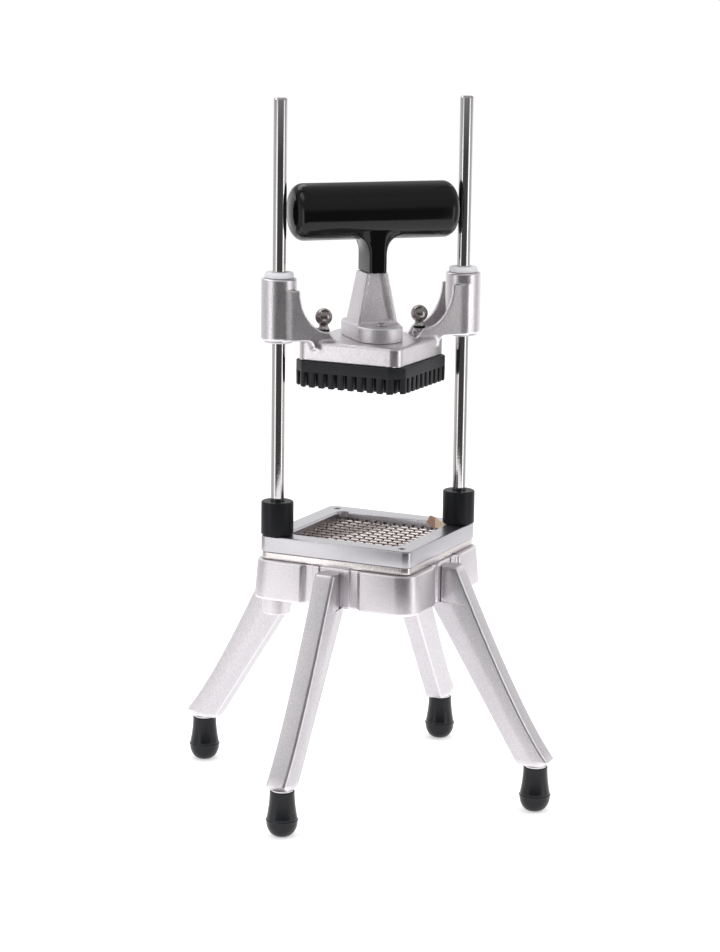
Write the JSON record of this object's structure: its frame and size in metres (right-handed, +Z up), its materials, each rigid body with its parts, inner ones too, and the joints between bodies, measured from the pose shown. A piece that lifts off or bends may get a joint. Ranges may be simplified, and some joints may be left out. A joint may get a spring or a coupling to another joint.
{
  "type": "vegetable dicer",
  "caption": "Hand-operated vegetable dicer: a T-handled pusher head slides on guide rods and presses food through a grid of crossed blades on a stand with splayed legs.",
  "frame": {"origin": "on the floor, centred between the feet", "axes": "+Z up; +X from the left guide rod to the right one; -Y is the front"},
  "size_m": [0.2354, 0.2354, 0.545],
  "materials": {
    "cast_aluminium": "tumbled satin casting",
    "milled_aluminium": "milled, lightly brushed",
    "polished_steel": "polished",
    "blade_steel": "ground",
    "black_plastic": "satin",
    "glossy_black": "glossy",
    "black_rubber": "satin",
    "white_nylon": "satin",
    "gunmetal": "blackened",
    "bronze": "dull bronze"
  },
  "bodies": {
    "stand": {"leg_front_left": "cast_aluminium", "foot_front_left": "black_rubber", "foot_washer_front_left": "polished_steel", "foot_stud_front_left": "polished_steel", "leg_bolt_front_left_lower": "polished_steel", "leg_bolt_front_left_upper": "polished_steel", "leg_front_right": "cast_aluminium", "foot_front_right": "black_rubber", "foot_washer_front_right": "polished_steel", "foot_stud_front_right": "polished_steel", "leg_bolt_front_right_lower": "polished_steel", "leg_bolt_front_right_upper": "polished_steel", "leg_back_left": "cast_aluminium", "foot_back_left": "black_rubber", "foot_washer_back_left": "polished_steel", "foot_stud_back_left": "polished_steel", "leg_bolt_back_left_lower": "polished_steel", "leg_bolt_back_left_upper": "polished_steel", "leg_back_right": "cast_aluminium", "foot_back_right": "black_rubber", "foot_washer_back_right": "polished_steel", "foot_stud_back_right": "polished_steel", "leg_bolt_back_right_lower": "polished_steel", "leg_bolt_back_right_upper": "polished_steel", "guide_rod_left": "polished_steel", "bumper_left": "black_plastic", "rod_bolt_left": "polished_steel", "guide_rod_right": "polished_steel", "bumper_right": "black_plastic", "rod_bolt_right": "polished_steel", "frame_screw_front": "polished_steel", "frame_screw_back": "polished_steel", "body_casting": "cast_aluminium", "blade_frame": "milled_aluminium", "blade_frame_base": "polished_steel", "upper_blade_set": "blade_steel", "lower_blade_set": "blade_steel", "corner_clip": "bronze"},
    "pusher": {"pusher_head": "cast_aluminium", "handle_stem": "cast_aluminium", "handle_grip": "glossy_black", "push_block": "black_plastic", "stem_screw_front": "polished_steel", "stem_screw_back": "polished_steel", "bushing_left_upper": "white_nylon", "bushing_left_lower": "white_nylon", "pin_barrel_left": "polished_steel", "pin_ring_left": "black_rubber", "pin_spring_left": "polished_steel", "bushing_right_upper": "white_nylon", "bushing_right_lower": "white_nylon", "pin_barrel_right": "polished_steel", "pin_ring_right": "black_rubber", "pin_spring_right": "polished_steel"},
    "left_pin": {"lock_pin_left": "polished_steel", "ball_knob_left": "gunmetal"},
    "right_pin": {"lock_pin_right": "polished_steel", "ball_knob_right": "gunmetal"}
  },
  "joints": [
    {"name": "head_slide", "type": "slide", "parent": "stand", "child": "pusher", "axis": [0, 0, 1], "range_m": [-0.1243, 0.13]},
    {"name": "left_pin_slide", "type": "slide", "parent": "pusher", "child": "left_pin", "axis": [0, 0, 1], "range_m": [0, 0.005], "stiffness_N_per_m": 500, "springref_m": -0.004, "deforming": ["pin_spring_left"]},
    {"name": "right_pin_slide", "type": "slide", "parent": "pusher", "child": "right_pin", "axis": [0, 0, 1], "range_m": [0, 0.005], "stiffness_N_per_m": 500, "springref_m": -0.004, "deforming": ["pin_spring_right"]}
  ]
}
